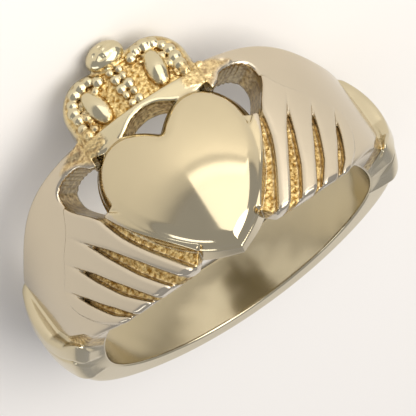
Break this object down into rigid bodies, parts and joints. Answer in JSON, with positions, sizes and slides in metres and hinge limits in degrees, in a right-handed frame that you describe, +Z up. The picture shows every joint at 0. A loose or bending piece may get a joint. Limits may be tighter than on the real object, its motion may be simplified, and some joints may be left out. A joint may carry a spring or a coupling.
{
  "type": "claddagh ring",
  "caption": "Cast gold finger ring with a puffed heart held between two hands and topped by a beaded crown, on a plain band with raised cuffs.",
  "frame": {"origin": "on the table under the middle of the ring as it lies on the crown's ball and the back of the band", "axes": "+Z up from the table, -Y the side the heart faces, +X to the right seen from that side"},
  "size_m": [0.0262, 0.0268, 0.0159],
  "materials": {
    "gold": "polished champagne yellow gold, granular in the recesses"
  },
  "bodies": {
    "root": {"ring": "gold"}
  },
  "joints": []
}
